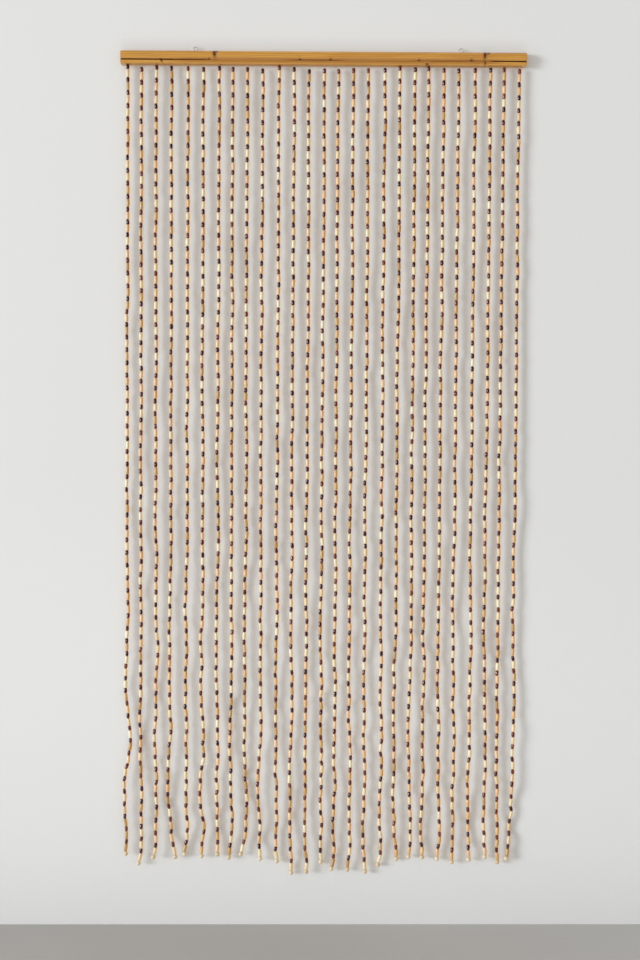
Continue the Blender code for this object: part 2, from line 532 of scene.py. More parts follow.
@dataclass(frozen=True)
class VarnishedPine:
    """Clear-varnished pine: rings round a pith behind the rail, knots, dark end grain, and painted
    shade over the lower band and in the groove.
    """

    rings: Stops = (
        (0.0, (0.79, 0.42, 0.090)),
        (0.55, (0.69, 0.34, 0.060)),
        (0.86, (0.59, 0.26, 0.040)),
        (0.97, (0.54, 0.225, 0.032)),
        (1.0, (0.75, 0.38, 0.075)),
    )
    amber: Colour = (0.50, 0.20, 0.035)
    knot: Colour = (0.13, 0.036, 0.008)
    halo: Colour = (0.30, 0.115, 0.022)
    # Painted shade: the dark colour laid into the groove.
    groove: Colour = (0.055, 0.016, 0.005)
    # Painted shade: a tint multiplied over the lower band, below the round upper band, for the
    # shade it lies in.
    lower_band_shade: Colour = (0.72, 0.64, 0.60)
    shaded_heights: Pair = (-12.3 * MM, -2 * MM)
    shaded_ends: Pair = (-325 * MM, 385 * MM)
    shade_soft: float = 1.3 * MM
    shade_fade: float = 25 * MM
    shade_fray: float = 1.5 * MM
    pith: Triple = (0.0, 0.030, -0.062)
    ring_spacing: float = 3.4 * MM
    ring_run: Triple = (0.016, 1.0, 1.0)
    waver_size: Triple = (3.2, 26.0, 26.0)
    waver: float = 2.6
    knot_swell: float = 1.2
    knot_swell_reach: Pair = (0.5, 6.0)
    knot_fray: float = 0.22
    knot_edge: Pair = (0.75, 1.15)
    halo_reach: Pair = (1.0, 2.6)
    halo_share: float = 0.75
    ragged_size: Triple = (350.0, 350.0, 350.0)
    amber_size: Triple = (4.0, 30.0, 60.0)
    amber_edge: Pair = (0.48, 0.78)
    amber_share: float = 0.55
    fibre_size: Triple = (14.0, 800.0, 800.0)
    fibre_edge: Pair = (0.42, 0.75)
    fibre_share: float = 0.30
    groove_shade_edge: Pair = (0.08, 0.75)
    end_facing: Pair = (0.7, 0.95)
    end_share: float = 0.55
    gloss: Pair = (0.30, 0.44)
    relief: float = 0.10 * MM
    knot_relief: float = 0.25 * MM
    coat: float = 0.3
    coat_roughness: float = 0.18
    knots: tuple[Knot, ...] = (
        Knot(-242.0, 10.5, 2.9, 9.5, -7.0),
        Knot(-236.5, 12.5, 1.6, 4.0, 30.0),
        Knot(357.5, 11.0, 2.8, 11.0, 5.0),
        Knot(367.0, 13.5, 1.9, 5.5, 40.0),
        Knot(357.5, -9.0, 1.5, 4.5, 0.0),
        Knot(-359.0, -8.5, 1.5, 3.6, -35.0),
        Knot(-253.5, -4.6, 1.6, 1.5, 0.0),
        Knot(-52.0, -4.2, 1.8, 1.3, 10.0),
        Knot(15.5, -4.4, 2.2, 1.3, -10.0),
        Knot(211.5, -4.8, 1.9, 1.6, 0.0),
        Knot(229.0, -13.0, 2.2, 1.5, 0.0),
        Knot(327.5, -4.4, 2.6, 1.5, 0.0),
    )

    def knot_distance(self, sheet: NodeSheet, place: Socket) -> Socket:
        """Measures how far a point is from the nearest knot.

        Args:
            sheet: the sheet that takes the nodes.
            place: the point, in metres.

        Returns:
            The distance, in that knot's half sizes.
        """
        flat = sheet.stretch(place, (1.0, 0.0, 1.0))
        nearest = None
        for knot in self.knots:
            centre = (knot.x * MM, 0.0, knot.z * MM)
            local = sheet.node(
                "Mapping",
                {
                    "Vector": flat,
                    "Location": centre,
                    "Rotation": (0.0, math.radians(knot.lean), 0.0),
                    "Scale": (knot.half_width * MM, 1.0, knot.half_height * MM),
                },
                vector_type="TEXTURE",
            ).outputs[0]
            away = sheet.node("VectorMath", {0: local}, operation="LENGTH").outputs["Value"]
            nearest = away if nearest is None else sheet.sum("MINIMUM", nearest, away)
        return nearest

    def ring_share(self, sheet: NodeSheet, place: Socket, bulge: Socket) -> Socket:
        """Measures how far a point is through its growth ring.

        Args:
            sheet: the sheet that takes the nodes.
            place: the point, in metres.
            bulge: how far the rings swell round a knot, in rings.

        Returns:
            The share, from 0 to 1.
        """
        centred = sheet.node("VectorMath", {0: place, 1: self.pith}, operation="SUBTRACT")
        across = sheet.stretch(centred.outputs[0], self.ring_run)
        radius = sheet.node("VectorMath", {0: across}, operation="LENGTH").outputs["Value"]
        rings = sheet.sum("MULTIPLY", radius, 1.0 / self.ring_spacing)
        waver = sheet.noise(sheet.stretch(place, self.waver_size), 1.0, 3.0)
        rings = sheet.sum("ADD", rings, sheet.sum("MULTIPLY", waver, self.waver))
        rings = sheet.sum("ADD", rings, bulge)
        return sheet.sum("FRACT", rings, 0.0)

    def lower_band_shading(self, sheet: NodeSheet, place: Socket, ragged: Socket) -> Socket:
        """Works out how much painted shade darkens a point, below the round upper band.

        Args:
            sheet: the sheet that takes the nodes.
            place: the point, in metres.
            ragged: a fine noise that frays the edge.

        Returns:
            The share, from 0 to 1.
        """
        frayed = sheet.sum("MULTIPLY", sheet.sum("SUBTRACT", ragged, 0.5), self.shade_fray)
        x, _, z = sheet.node("SeparateXYZ", {0: place}).outputs
        height = sheet.sum("ADD", z, frayed)
        low, high = self.shaded_heights
        left, right = self.shaded_ends
        soft, fade = self.shade_soft, self.shade_fade
        share = sheet.span(height, high + soft, high - soft, 0.0, 1.0)
        for value, outer, inner in (
            (height, low - soft, low + soft),
            (x, left - fade, left + fade),
            (x, right + fade, right - fade),
        ):
            share = sheet.sum("MULTIPLY", share, sheet.span(value, outer, inner, 0.0, 1.0))
        return share

    def material(self) -> bpy.types.Material:
        """Mixes the varnished pine.

        Returns:
            The rail's material.
        """
        sheet = NodeSheet("varnished_pine")
        place = sheet.place()
        ragged = sheet.noise(sheet.stretch(place, self.ragged_size), 1.0)
        away = self.knot_distance(sheet, place)
        away = sheet.vary(away, ragged, (0.2, 0.8), self.knot_fray)
        swell = sheet.span(away, *self.knot_swell_reach, self.knot_swell, 0.0)
        colour = sheet.ramp(self.ring_share(sheet, place, swell), self.rings)

        # Painted shade: the lower band is darkened as though it faced away from the light.
        colour = sheet.mix(self.lower_band_shading(sheet, place, ragged), colour, self.lower_band_shade, "MULTIPLY")
        amber = sheet.noise(sheet.stretch(place, self.amber_size), 1.0)
        colour = sheet.cover(colour, self.amber, amber, self.amber_edge, self.amber_share)
        fibres = sheet.noise(sheet.stretch(place, self.fibre_size), 1.0, 4.0)
        colour = sheet.cover(colour, self.halo, fibres, self.fibre_edge, self.fibre_share)

        halo = sheet.span(away, *self.halo_reach, self.halo_share, 0.0)
        colour = sheet.mix(halo, colour, self.halo)
        colour = sheet.mix(sheet.span(away, *self.knot_edge, 1.0, 0.0), colour, self.knot)
        # Painted shade in the groove, darkest where it is most open.
        colour = sheet.cover(colour, self.groove, sheet.tag(Tag.GROOVE), self.groove_shade_edge, 1.0)

        facing = sheet.node("NewGeometry", {}).outputs["Normal"]
        along = sheet.node("SeparateXYZ", {0: facing}).outputs[0]
        endways = sheet.sum("ABSOLUTE", along, 0.0)
        colour = sheet.cover(colour, self.halo, endways, self.end_facing, self.end_share)

        relief = sheet.bump(fibres, self.relief)
        relief = sheet.bump(sheet.span(away, 0.6, 1.4, 1.0, 0.0), self.knot_relief, relief)
        return sheet.finish(
            Base_Color=colour,
            Roughness=sheet.span(fibres, 0.3, 0.7, *self.gloss),
            Normal=relief,
            Coat_Weight=self.coat,
            Coat_Roughness=self.coat_roughness,
        )


@dataclass(frozen=True)
class StagePaint:
    """Matt paint for the backdrop or the floor, with a faint mottle."""

    name: str
    light: Colour
    dark: Colour
    mottle: float
    roughness: float
    clear_behind: bool = False
    fine_size: float = 160.0
    relief: float = 0.15 * MM
    sheen_level: float = 0.2

    def material(self) -> bpy.types.Material:
        """Mixes the paint, which can be seen through from its far side if asked.

        Returns:
            The paint's material.
        """
        sheet = NodeSheet(self.name)
        place = sheet.place()
        cloudy = sheet.noise(place, self.mottle, 4.0)
        colour = sheet.mix(cloudy, self.dark, self.light)
        fine = sheet.noise(place, self.fine_size, 3.0)
        paint = sheet.finish(
            Base_Color=colour,
            Roughness=self.roughness,
            Normal=sheet.bump(fine, self.relief),
            Specular_IOR_Level=self.sheen_level,
        )
        if self.clear_behind:
            behind = sheet.node("NewGeometry", {}).outputs["Backfacing"]
            clear = sheet.node("BsdfTransparent", {}).outputs[0]
            blend = sheet.node("MixShader", {0: behind, 1: sheet.shader.outputs[0], 2: clear})
            surface = sheet.tree.nodes["Material Output"].inputs["Surface"]
            sheet.tree.links.new(blend.outputs[0], surface)
        return paint


# --------------------------------------------------------------------------- mesh work


def ring_faces(rings: int, sides: int, closed: bool) -> np.ndarray:
    """Joins rings of points with four-sided faces.

    Args:
        rings: how many rings there are.
        sides: how many points each ring has.
        closed: whether the last ring joins up with the first.

    Returns:
        The four points of each face, one row each.
    """
    spans = rings if closed else rings - 1
    ring, side = np.meshgrid(np.arange(spans), np.arange(sides), indexing="ij")
    next_ring, next_side = (ring + 1) % rings, (side + 1) % sides
    corners = [
        ring * sides + side,
        next_ring * sides + side,
        next_ring * sides + next_side,
        ring * sides + next_side,
    ]
    return np.stack(corners, axis=-1).reshape(-1, 4)


def new_mesh_object(
    name: str, points: np.ndarray, faces: np.ndarray | list[tuple[int, ...]]
) -> bpy.types.Object:
    """Makes an object from points and faces.

    Args:
        name: the object's name.
        points: one row of x, y, z for each point, in metres.
        faces: the points of each face.

    Returns:
        The object, not yet in the scene.
    """
    mesh = bpy.data.meshes.new(name)
    mesh.from_pydata(points.tolist(), [], [list(face) for face in faces])
    mesh.update()
    return bpy.data.objects.new(name, mesh)


def write_tag(mesh: bpy.types.Mesh, tag: Tag, values: np.ndarray) -> None:
    """Stores a number or a vector at each point of a mesh.

    Args:
        mesh: the mesh to mark.
        tag: the name to store them under.
        values: one number or one row of three for each point.
    """
    is_vector = values.ndim == 2
    layer = mesh.attributes.new(tag.value, "FLOAT_VECTOR" if is_vector else "FLOAT", "POINT")
    layer.data.foreach_set("vector" if is_vector else "value", values.astype(np.float32).ravel())


def smooth(mesh: bpy.types.Mesh, sharp_over: float) -> None:
    """Shades a mesh smooth, apart from edges sharper than an angle in degrees."""
    mesh.shade_smooth()
    mesh.set_sharp_from_angle(angle=math.radians(sharp_over))


def evaluated_mesh(piece: bpy.types.Object, name: str) -> bpy.types.Object:
    """Applies a piece's curve or modifiers.

    Args:
        piece: the object to apply, which is removed.
        name: the name of the object that takes its place.

    Returns:
        An object that holds the plain mesh, not yet in the scene.
    """
    graph = bpy.context.evaluated_depsgraph_get()
    mesh = bpy.data.meshes.new_from_object(piece.evaluated_get(graph))
    bpy.data.objects.remove(piece, do_unlink=True)
    mesh.name = name
    return bpy.data.objects.new(name, mesh)


def wire_curve(
    name: str,
    points: list[Vector],
    diameter: float,
    sides: int,
    closed: bool = False,
) -> bpy.types.Object:
    """Makes a round wire along a line.

    Args:
        name: the object's name.
        points: the line's points, in metres.
        diameter: the wire's diameter.
        sides: how many sides its section has, which is even.
        closed: whether the line joins up with its start.

    Returns:
        The curve object, not yet in the scene.
    """
    curve = bpy.data.curves.new(name, "CURVE")
    curve.dimensions = "3D"
    curve.resolution_u = 1
    curve.bevel_depth = diameter / 2
    curve.bevel_resolution = sides // 2 - 2
    curve.use_fill_caps = not closed
    spline = curve.splines.new("POLY")
    spline.points.add(len(points) - 1)
    for point, place in zip(spline.points, points):
        point.co = (*place, 1.0)
    spline.use_cyclic_u = closed
    return bpy.data.objects.new(name, curve)


def place_piece(
    piece: bpy.types.Object,
    materials: list[bpy.types.Material],
    slot: Slot,
    node: Node,
) -> bpy.types.Object:
    """slot: the record's material slot that it takes, which is only logged.
        node: the CAD node that it stands for.

    Returns:
        The same object.
    """
    bpy.context.scene.collection.objects.link(piece)
    piece.data.materials.clear()
    for material in materials:
        piece.data.materials.append(material)
    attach(piece, BODY)
    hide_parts(node.value)
    LOG.info("%s: %s", piece.name, slot.value)
    return piece


class MeshBatch:
    """Many small shapes gathered into one mesh, with their tags."""

    def __init__(self) -> None:
        """Starts with no shapes."""
        self.points: list[np.ndarray] = []
        self.faces: list[np.ndarray] = []
        self.tags: dict[Tag, list[np.ndarray]] = {}
        self.finish: list[np.ndarray] = []
        self.count = 0

    def add(
        self,
        points: np.ndarray,
        faces: np.ndarray,
        tags: dict[Tag, np.ndarray],
        finish: int = 0,
    ) -> None:
        """Adds shapes.

        Args:
            points: their points, one row each.
            faces: their four-sided faces, numbered from their own first point.
            tags: what each point carries.
            finish: which of the piece's materials they take.
        """
        self.points.append(points)
        self.faces.append(faces + self.count)
        self.finish.append(np.full(len(faces), finish, np.int32))
        for tag, values in tags.items():
            self.tags.setdefault(tag, []).append(values)
        self.count += len(points)

    def build(self, name: str, sharp_over: float) -> bpy.types.Object:
        """Makes the object.

        Args:
            name: its name.
            sharp_over: the angle in degrees past which an edge stays sharp.

        Returns:
            The object, not yet in the scene.
        """
        made = new_mesh_object(name, np.concatenate(self.points), np.concatenate(self.faces))
        for tag, values in self.tags.items():
            write_tag(made.data, tag, np.concatenate(values))
        made.data.polygons.foreach_set("material_index", np.concatenate(self.finish))
        smooth(made.data, sharp_over)
        return made


# --------------------------------------------------------------------------- the strands


class StrandRow(NamedTuple):
    """One strand, in millimetres.

    offset is sideways from its even place on the rail, bare is the thread that shows above
    the first bead, and reach is from the rail's underside to the tip. The at_ columns are
    the sideways sway at that height above the tip. pairs counts its brown beads.
    """

    offset: float
    bare: float
    reach: float
    at_400: float
    at_260: float
    at_150: float
    at_60: float
    tip: float
    pairs: int


STRANDS = (
    StrandRow(0.3, 0.5, 1775, -1, 5, -6, 0, -2, 62),
    StrandRow(-2.6, 6.0, 1797, -1, -1, 4, 3, -3, 62),
    StrandRow(-2.8, 1.5, 1782, 1, -1, 2, 0, -4, 62),
    StrandRow(-2.4, 3.0, 1782, 1, 1, -4, 0, 8, 62),
    StrandRow(0.8, 4.0, 1777, -3, 2, 1, 1, -6, 62),
    StrandRow(1.6, 5.5, 1780, 0, 4, -3, 3, -1, 62),
    StrandRow(2.9, 2.5, 1776, 0, 4, 0, 3, 3, 62),
    StrandRow(0.0, 5.0, 1783, -1, 0, 1, 2, -1, 62),
    StrandRow(-1.0, 5.0, 1775, 0, 0, 2, 3, -9, 62),
    StrandRow(-0.9, 8.0, 1785, 1, 2, -2, 1, 2, 62),
    StrandRow(2.3, 0.5, 1791, -1, -1, 3, 2, 3, 63),
    StrandRow(2.1, 4.0, 1818, 1, -1, 0, 1, 1, 63),
    StrandRow(2.2, 9.0, 1814, 0, 0, 0, 1, 3, 63),
    StrandRow(2.5, 7.0, 1793, 1, 0, -2, 2, 3, 62),
    StrandRow(-0.2, 8.0, 1808, 1, 0, 0, 4, -4, 63),
    StrandRow(0.1, 5.5, 1809, 0, 2, 1, 1, -3, 63),
    StrandRow(-0.3, 6.0, 1814, 1, 1, 2, 0, 4, 63),
    StrandRow(2.9, 5.0, 1798, 1, 1, 1, 3, -2, 63),
    StrandRow(2.9, 0.5, 1785, -2, -1, -1, 0, 9, 63),
    StrandRow(3.1, 3.0, 1778, -1, -2, 1, 2, 3, 62),
    StrandRow(-0.3, 0.5, 1779, 1, 1, 0, -1, 3, 62),
    StrandRow(-0.1, 4.0, 1783, 0, 0, 0, 4, 2, 62),
    StrandRow(-0.4, 5.0, 1790, 1, 2, 0, 3, 2, 62),
    StrandRow(2.8, 3.5, 1784, 1, 1, 0, 2, 3, 62),
    StrandRow(3.0, 3.0, 1778, 2, 2, 1, 0, 6, 62),
    StrandRow(-0.4, 2.5, 1789, 0, 1, 1, 3, 4, 62),
    StrandRow(0.3, 5.0, 1781, 3, 3, 1, -2, -8, 62),
)


@dataclass(frozen=True)
class StrandRoute:
    """The line in which one strand hangs, the same as its solid's."""

    index: int
    row: StrandRow
    pitch: float = 33.45 * MM
    depth: float = 11 * MM
    underside: float = -15 * MM
    inside: float = 1.6 * MM
    stations: tuple[float, ...] = (520, 400, 260, 150, 60, 0)
    depth_sway: float = 2 * MM
    depth_wave: float = 310 * MM
    depth_turn: float = 1.9

    def x(self) -> float:
        """Returns the strand's place along the rail."""
        return (self.index - (len(STRANDS) - 1) / 2) * self.pitch + self.row.offset * MM

    def exit(self) -> Vector:
        """Returns where the thread leaves the rail."""
        return Vector((self.x(), -self.depth, self.underside))

    def start(self) -> Vector:
        """Returns where the thread is tied, inside the rail."""
        return self.exit() + Vector((0.0, 0.0, self.inside))

    def length(self) -> float:
        """Returns the thread's length, from its knot in the rail to its tip."""
        return self.row.reach * MM + self.inside

    def sideways(self, above_tip: float) -> float:
        """Works out how far the strand stands to the side.

        Args:
            above_tip: the height above its tip.

        Returns:
            The distance along the rail from its straight line.
        """
        row = self.row
        sways = (0, row.at_400, row.at_260, row.at_150, row.at_60, row.tip)
        height = above_tip / MM
        for upper, lower, high, low in zip(self.stations, self.stations[1:], sways, sways[1:]):
            if lower <= height <= upper:
                share = (height - lower) / (upper - lower)
                return (low + (high - low) * (3 - 2 * share) * share * share) * MM
        return 0.0

    def inward(self, above_tip: float) -> float:
        """Works out how far the strand stands towards the wall.

        Args:
            above_tip: the height above its tip.

        Returns:
            The distance from its straight line.
        """
        fade = max(0.0, 1 - above_tip / (self.stations[0] * MM))
        turn = 2 * math.pi * above_tip / self.depth_wave + self.depth_turn * self.index
        return self.depth_sway * fade * math.sin(turn)

    def point(self, above_tip: float) -> Vector:
        """Works out where the strand's middle is.

        Args:
            above_tip: the height above its tip.

        Returns:
            The point.
        """
        return Vector(
            (
                self.x() + self.sideways(above_tip),
                -self.depth + self.inward(above_tip),
                above_tip + self.underside - self.row.reach * MM,
            )
        )


@dataclass(frozen=True)
class BeadShape:
    """A turned bead bored through its length.

    outline is half of its side, from the rim to the middle, as shares of its half length
    and of its radius. The spreads, taper and oval are the chance shares by which beads
    differ. bore_end is how far the bore reaches, bore_mark its rim tag, and grain_room how
    far apart in the wood beads may be cut.
    """

    length: float
    diameter: float
    bore: float
    sides: int
    outline: Outline
    length_spread: float
    width_spread: float
    taper: float
    oval: float = 0.025
    bore_end: float = 0.97
    bore_mark: float = 1.3
    grain_room: float = 400
    sharp_over: float = 50.0

    def section(self) -> np.ndarray:
        """Works out the closed section, from rim to rim and back along the bore.

        Returns:
            Its points, as shares of half length and of radius.
        """
        upper = list(self.outline)
        lower = [(-along, out) for along, out in reversed(upper) if along > 0]
        hole = self.bore / self.diameter
        return np.array([*upper, *lower, (-self.bore_end, hole), (self.bore_end, hole)])

    def faces(self, count: int) -> np.ndarray:
        """Works out the four-sided faces of some beads.

        Args:
            count: how many beads.

        Returns:
            The four points of each face, one row each.
        """
        rings = len(self.section())
        one = ring_faces(rings, self.sides, closed=True)
        step = rings * self.sides
        return (one[None] + (np.arange(count) * step)[:, None, None]).reshape(-1, 4)

    def string(
        self,
        batch: MeshBatch,
        tops: np.ndarray,
        bottoms: np.ndarray,
        rng: np.random.Generator,
        tones: np.ndarray,
    ) -> None:
        """Threads one bead between each pair of points.

        Args:
            batch: takes the beads.
            tops: where each bead starts, one row each.
            bottoms: where each bead ends.
            rng: the strand's source of chance.
            tones: each bead's tone, from 0 to 1.
        """
        count = len(tops)
        axis = tops - bottoms
        length = np.linalg.norm(axis, axis=1, keepdims=True)
        axis = axis / length
        side_axis = np.cross(axis, [0.0, 1.0, 0.0])
        side_axis /= np.linalg.norm(side_axis, axis=1, keepdims=True)
        front_axis = np.cross(axis, side_axis)

        along, out = self.section().T
        turn = np.linspace(0, 2 * math.pi, self.sides, endpoint=False)
        wide = 1 + self.width_spread * rng.standard_normal((count, 1, 1))
        leaning = self.taper * rng.uniform(-1, 1, (count, 1, 1))
        oval = self.oval * rng.uniform(0, 1, (count, 1, 1))
        oval_turn = rng.uniform(0, math.pi, (count, 1, 1))
        radius = self.diameter / 2 * wide * out[None, :, None]
        radius = radius * (1 + leaning * along[None, :, None])
        radius = radius * (1 + oval * np.cos(2 * (turn[None, None, :] - oval_turn)))
        side = radius * np.cos(turn)
        front = radius * np.sin(turn)
        rise = along[None, :, None] * length[:, :, None] / 2 + np.zeros_like(side)

        middle = (tops + bottoms) / 2
        points = (
            middle[:, None, None, :]
            + side[..., None] * side_axis[:, None, None, :]
            + front[..., None] * front_axis[:, None, None, :]
            + rise[..., None] * axis[:, None, None, :]
        )
        shift = rng.uniform(0, self.grain_room, (count, 1, 1, 3))
        grain = np.stack([side, front, rise], axis=-1) / MM + shift
        in_bore = np.arange(len(along)) >= len(along) - 2
        rim = np.where(in_bore, self.bore_mark, np.abs(along))
        rim = rim[None, :, None] + np.zeros_like(side)
        tone = tones[:, None, None] + np.zeros_like(side)
        tags = {
            Tag.GRAIN: grain.reshape(-1, 3),
            Tag.TONE: tone.reshape(-1),
            Tag.RIM: rim.reshape(-1),
        }
        batch.add(points.reshape(-1, 3), self.faces(count), tags)


def ball_outline(steep: float, steps: int) -> Outline:
    """Works out the side of a ball with a flat round its bore.

    Args:
        steep: the angle in degrees above the middle at which the flat starts.
        steps: how many steps the side takes from there to the middle.

    Returns:
        Shares of half length and radius, from the rim to the middle.
    """
    turns = [math.radians(steep * (1 - i / steps)) for i in range(steps + 1)]
    top = math.sin(turns[0])
    return tuple((math.sin(turn) / top, math.cos(turn)) for turn in turns)


@dataclass(frozen=True)
class ThreadKnot:
    """A thread tied over itself once."""

    size: float = 0.42 * MM
    thread: float = 0.9 * MM
    steps: int = 24
    sides: int = 6
    sharp_over: float = 60.0

    def line(self) -> list[Vector]:
        """Works out the closed line of the knot.

        Returns:
            Its points about the knot's own middle.
        """
        turns = [2 * math.pi * i / self.steps for i in range(self.steps)]
        return [
            self.size
            * Vector(
                (
                    math.sin(turn) + 2 * math.sin(2 * turn),
                    math.cos(turn) - 2 * math.cos(2 * turn),
                    -math.sin(3 * turn),
                )
            )
            for turn in turns
        ]

    def shape(self) -> tuple[np.ndarray, np.ndarray]:
        """Works out the knot's surface.

        Returns:
            Its points and its four-sided faces.
        """
        line = np.array([list(point) for point in self.line()])
        ahead = np.roll(line, -1, axis=0) - np.roll(line, 1, axis=0)
        ahead /= np.linalg.norm(ahead, axis=1, keepdims=True)
        out = np.cross(ahead, [0.0, 0.0, 1.0])
        out /= np.linalg.norm(out, axis=1, keepdims=True)
        up = np.cross(out, ahead)
        turn = np.linspace(0, 2 * math.pi, self.sides, endpoint=False)
        ring = (
            out[:, None, :] * np.cos(turn)[None, :, None]
            + up[:, None, :] * np.sin(turn)[None, :, None]
        )
        points = line[:, None, :] + ring * self.thread / 2
        outward = (0, 3, 2, 1)
        faces = ring_faces(self.steps, self.sides, closed=True)[:, outward]
        return points.reshape(-1, 3), faces

    def tie(self, batch: MeshBatch, middle: Vector, turn: float, finish: int = 0) -> None:
        """Adds a knot to a batch.

        Args:
            batch: takes the knot.
            middle: where it sits.
            turn: how far it is turned about its thread, in radians.
            finish: which of the piece's materials it takes.
        """
        points, faces = self.shape()
        turned = np.array(Matrix.Rotation(turn, 3, "Z"))
        points = points @ turned.T
        tags = {
            Tag.GRAIN: points / MM,
            Tag.TONE: np.zeros(len(points)),
            Tag.RIM: np.zeros(len(points)),
        }
        batch.add(points + np.array(middle), faces, tags, finish)


@dataclass
class BeadStrands:
    """All the strands: cotton threads strung with brown beads, tube beads and an end bead."""

    brown: BeadShape = BeadShape(
        length=11.3 * MM,
        diameter=7.6 * MM,
        bore=2.2 * MM,
        sides=14,
        outline=((1.0, 0.56), (0.88, 0.80), (0.52, 0.965), (0.0, 1.0)),
        length_spread=0.025,
        width_spread=0.03,
        taper=0.02,
    )
    tube: BeadShape = BeadShape(
        length=17.1 * MM,
        diameter=7.7 * MM,
        bore=2.4 * MM,
        sides=12,
        outline=((1.0, 0.78), (0.93, 0.925), (0.42, 1.0)),
        length_spread=0.02,
        width_spread=0.04,
        taper=0.035,
    )
    ball: BeadShape = BeadShape(
        length=9.8 * MM,
        diameter=10.3 * MM,
        bore=2.4 * MM,
        sides=20,
        outline=ball_outline(72, 5),
        length_spread=0.0,
        width_spread=0.02,
        taper=0.02,
    )
    knot: ThreadKnot = ThreadKnot()
    thread: float = 1.0 * MM
    thread_sides: int = 6
    bead_gap: float = 0.12 * MM
    bead_looseness: float = 0.16 * MM
    bead_tones: Pair = (1.3, 1.7)
    ball_palest: float = 0.7
    knot_rise: float = 0.1 * MM
    wander_step: float = 0.42 * MM
    wander_kept: float = 0.75
    wander_lower: float = 2.3
    heading_rise: float = 2.1 * MM
    heading_overhang: float = 4 * MM
    heading_diameter: float = 1.9 * MM
    heading_sides: int = 10
    heading_steps: int = 160
    heading_waver: float = 0.15 * MM
    heading_waves: float = 0.9
    heading_knot_rise: float = 0.9 * MM
    line_seed: int = 4117
    bead_seed: int = 12351
    end_seed: int = 20585
    heading_seed: int = 28819
    lacquer: BrownLacquer = BrownLacquer()
    tube_wood: TubeWood = TubeWood()
    ball_wood: EndBeadWood = EndBeadWood()
    cotton: CottonThread = CottonThread()
    routes: list[StrandRoute] = field(default_factory=list)
    joints: list[np.ndarray] = field(default_factory=list)

    def __post_init__(self) -> None:
        """Works out where every bead of every strand meets the next."""
        for index, row in enumerate(STRANDS):
            route = StrandRoute(index, row)
            self.routes.append(route)
            self.joints.append(self.string_joints(route))

    def bead_heights(self, route: StrandRoute, rng: np.random.Generator) -> np.ndarray:
        """Shares out a strand's length among its beads.

        Args:
            route: the strand.
            rng: the strand's source of chance.

        Returns:
            The height above the tip of each bead's top, and 0 for the tip.
        """
        row = route.row
        lengths = np.empty(2 * row.pairs)
        for start, shape in enumerate((self.brown, self.tube)):
            chance = rng.standard_normal(row.pairs)
            lengths[start::2] = shape.length * (1 + shape.length_spread * chance)
        top = (row.reach - row.bare) * MM
        lengths *= (top - self.ball.length) / lengths.sum()
        ends = top - np.cumsum(lengths)
        return np.array([top, *ends, 0.0])

    def string_joints(self, route: StrandRoute) -> np.ndarray:
        """Places the points at which a strand's beads meet.

        Args:
            route: the strand.

        Returns:
            One row for each joint, from the first bead's top to the tip.
        """
        rng = np.random.default_rng(self.line_seed + route.index)
        heights = self.bead_heights(route, rng)
        joints = np.array([list(route.point(height)) for height in heights])
        wander = np.zeros(2)
        for number, height in enumerate(heights):
            loose = 1 + self.wander_lower * (1 - height / heights[0]) ** 2
            joints[number, :2] += wander * loose
            wander = self.wander_kept * wander + rng.normal(0, self.wander_step, 2)
        return joints

    def build_threads(self, material: bpy.types.Material) -> list[bpy.types.Object]:
        """Lays each strand's thread from the heading to its tip.

        Args:
            material: the twine.

        Returns:
            The threads' curves, one for each strand.
        """
        threads = []
        for route, joints in zip(self.routes, self.joints):
            line = [route.start(), route.exit(), *[Vector(joint) for joint in joints]]
            name = f"strand_{route.index + 1:02d}_thread"
            thread = wire_curve(name, line, self.thread, self.thread_sides)
            threads.append(place_piece(thread, [material], Slot.THREAD, Node.STRANDS))
        return threads

    def build_beads(self, route: StrandRoute, joints: np.ndarray) -> list[bpy.types.Object]:
        """Makes one strand's brown beads and tube beads, not yet in the scene.

        Args:
            route: the strand.
            joints: where its beads meet.

        Returns:
            The brown beads and the tube beads.
        """
        rng = np.random.default_rng(self.bead_seed + route.index)
        made = []
        for start, (shape, what) in enumerate(((self.brown, "brown"), (self.tube, "tube"))):
            tops = joints[start:-2:2].copy()
            bottoms = joints[start + 1 : -1 : 2].copy()
            inset = (tops - bottoms) / np.linalg.norm(tops - bottoms, axis=1, keepdims=True)
            tops -= inset * self.bead_gap
            bottoms += inset * self.bead_gap
            off_centre = np.zeros_like(tops)
            off_centre[:, :2] = rng.normal(0, self.bead_looseness, (len(tops), 2))
            tones = rng.beta(*self.bead_tones, len(tops))
            batch = MeshBatch()
            shape.string(batch, tops + off_centre, bottoms + off_centre, rng, tones)
            name = f"strand_{route.index + 1:02d}_{what}_beads"
            made.append(batch.build(name, shape.sharp_over))
        return made

    def build_end(self, route: StrandRoute, joints: np.ndarray) -> bpy.types.Object:
        """Makes one strand's end bead with the knot below it, not yet in the scene.

        Args:
            route: the strand.
            joints: where its beads meet.

        Returns:
            The end bead, whose second material is the thread's.
        """
        rng = np.random.default_rng(self.end_seed + route.index)
        batch = MeshBatch()
        tops = joints[-2:-1] - [0.0, 0.0, self.bead_gap]
        self.ball.string(batch, tops, joints[-1:], rng, rng.uniform(0, self.ball_palest, 1))
        knot_middle = Vector(joints[-1]) + Vector((0.0, 0.0, self.knot_rise))
        self.knot.tie(batch, knot_middle, rng.uniform(0, math.tau), finish=1)
        return batch.build(f"strand_{route.index + 1:02d}_end_bead", self.ball.sharp_over)

